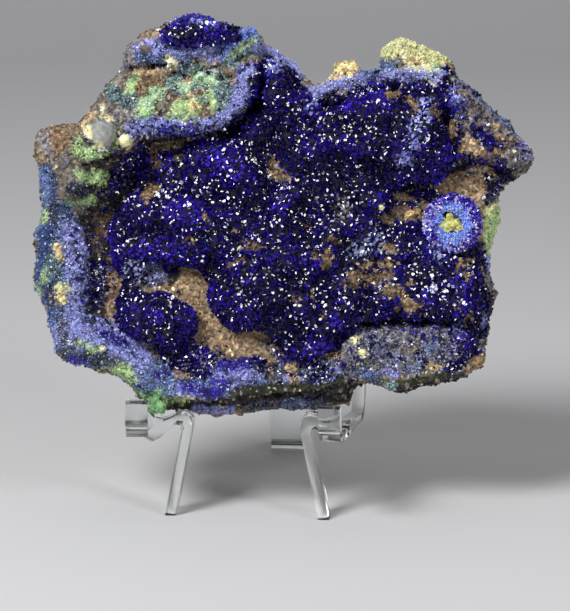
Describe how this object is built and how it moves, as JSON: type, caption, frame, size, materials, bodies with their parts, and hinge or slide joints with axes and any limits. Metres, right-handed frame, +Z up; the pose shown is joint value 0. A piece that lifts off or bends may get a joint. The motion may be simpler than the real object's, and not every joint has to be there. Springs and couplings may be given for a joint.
{
  "type": "mineral specimen on a stand",
  "caption": "Broken slab of brown rock with a raised rim, its hollow lined with a druse of small dark blue crystals, standing on a bent clear plastic easel.",
  "frame": {"origin": "on the surface that the easel stands on, under the middle of the whole", "axes": "+Z up, +X to the right of the crystal face seen from the front, -Y towards the viewer"},
  "size_m": [0.0672, 0.0462, 0.0672],
  "materials": {
    "limonite": "rough, broken",
    "azurite": "glassy crystals",
    "clear_acrylic": "clear, polished"
  },
  "bodies": {
    "root": {"matrix": "limonite", "azurite_crust": "azurite", "azurite_cap": "azurite", "clear_easel": "clear_acrylic"}
  },
  "joints": []
}
